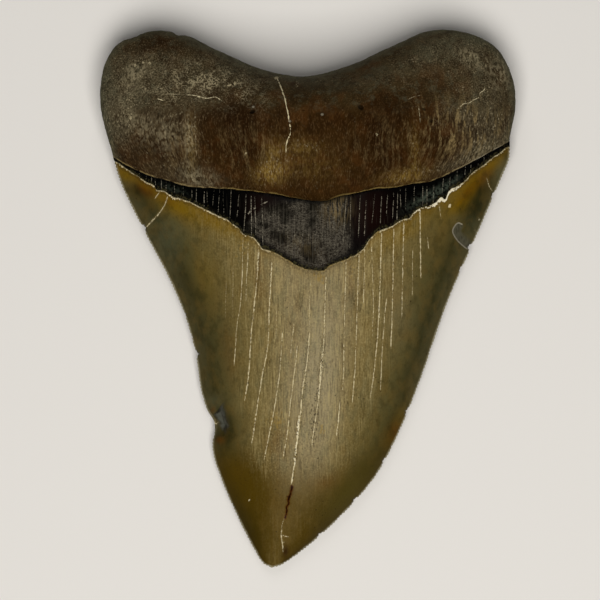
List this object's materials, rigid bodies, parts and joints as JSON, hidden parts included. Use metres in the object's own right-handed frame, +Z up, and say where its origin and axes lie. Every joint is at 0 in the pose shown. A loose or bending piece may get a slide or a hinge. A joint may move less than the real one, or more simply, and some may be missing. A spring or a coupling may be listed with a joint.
{
  "type": "megalodon tooth",
  "caption": "Fossil megalodon tooth lying flat: thick brown two-lobed root, dark band under it and an olive-tan crown with serrated edges",
  "frame": {"origin": "on the surface that the tooth lies on, under the middle of its bounding box", "axes": "+Y from the tip to the root, along the tooth's length; +X to the right as seen from above; +Z up, through the tooth's thickness, from the flat labial face that it rests on to the domed lingual face"},
  "size_m": [0.0925, 0.12, 0.0256],
  "materials": {
    "fossil_tooth": "satin"
  },
  "bodies": {
    "root": {"tooth": "fossil_tooth"}
  },
  "joints": []
}
